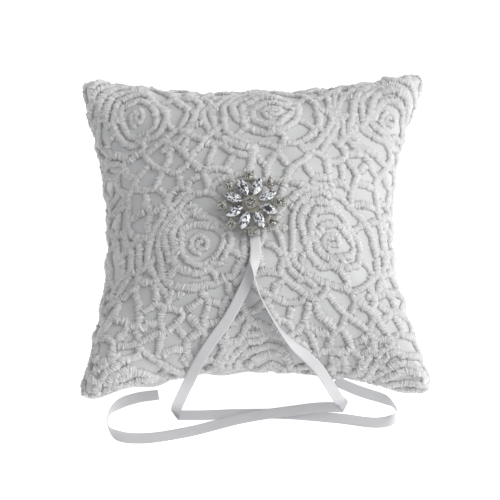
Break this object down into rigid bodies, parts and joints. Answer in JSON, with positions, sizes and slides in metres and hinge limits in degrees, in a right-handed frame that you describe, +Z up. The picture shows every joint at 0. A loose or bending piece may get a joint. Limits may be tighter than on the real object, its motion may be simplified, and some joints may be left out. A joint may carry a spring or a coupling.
{
  "type": "ring bearer pillow",
  "caption": "Square stuffed ring bearer pillow with a corded lace front, a snowflake brooch sewn to its middle and a narrow ribbon with two tying tails.",
  "frame": {"origin": "on the table under the middle of the cushion, which lies on its back; the free tails are left out of the box", "axes": "+Z up through the brooch, +Y towards the far edge, the ribbon tails run towards -Y"},
  "size_m": [0.1942, 0.204, 0.0957],
  "materials": {
    "lace": "corded lace, matt",
    "satin": "white satin",
    "back_satin": "white satin",
    "fibre": "loose polyester fibre",
    "ribbon": "white satin ribbon",
    "thread": "sewing thread",
    "silver": "polished silver plating",
    "clear_stone": "clear cut glass, foil backed",
    "smoky_stone": "smoky cut glass, foil backed"
  },
  "bodies": {
    "cushion": {"fibre_filling": "fibre", "cover_front": "satin", "cover_back": "back_satin", "lace_front": "lace", "sewing_thread": "thread", "ribbon_fold": "ribbon", "ribbon_tail_left": "ribbon", "ribbon_tail_right": "ribbon"},
    "brooch": {"brooch_plate": "silver", "brooch_shank": "silver", "centre_setting": "silver", "centre_stone": "smoky_stone", "leaf_setting_1": "silver", "leaf_stone_1": "clear_stone", "square_setting_1": "silver", "round_stone_1": "smoky_stone", "leaf_setting_2": "silver", "leaf_stone_2": "clear_stone", "square_setting_2": "silver", "round_stone_2": "smoky_stone", "leaf_setting_3": "silver", "leaf_stone_3": "clear_stone", "square_setting_3": "silver", "round_stone_3": "smoky_stone", "leaf_setting_4": "silver", "leaf_stone_4": "clear_stone", "square_setting_4": "silver", "round_stone_4": "smoky_stone", "leaf_setting_5": "silver", "leaf_stone_5": "clear_stone", "square_setting_5": "silver", "round_stone_5": "smoky_stone", "leaf_setting_6": "silver", "leaf_stone_6": "clear_stone", "square_setting_6": "silver", "round_stone_6": "smoky_stone", "leaf_setting_7": "silver", "leaf_stone_7": "clear_stone", "square_setting_7": "silver", "round_stone_7": "smoky_stone", "leaf_setting_8": "silver", "leaf_stone_8": "clear_stone", "square_setting_8": "silver", "round_stone_8": "smoky_stone"}
  },
  "joints": [
    {"name": "brooch_turn", "type": "hinge", "parent": "cushion", "child": "brooch", "pos_m": [-0.0003, -0.0004, 0.08928], "axis": [0, -0.1564, 0.9877], "range_deg": [-20, 20], "stiffness_Nm_per_rad": 0.002}
  ]
}
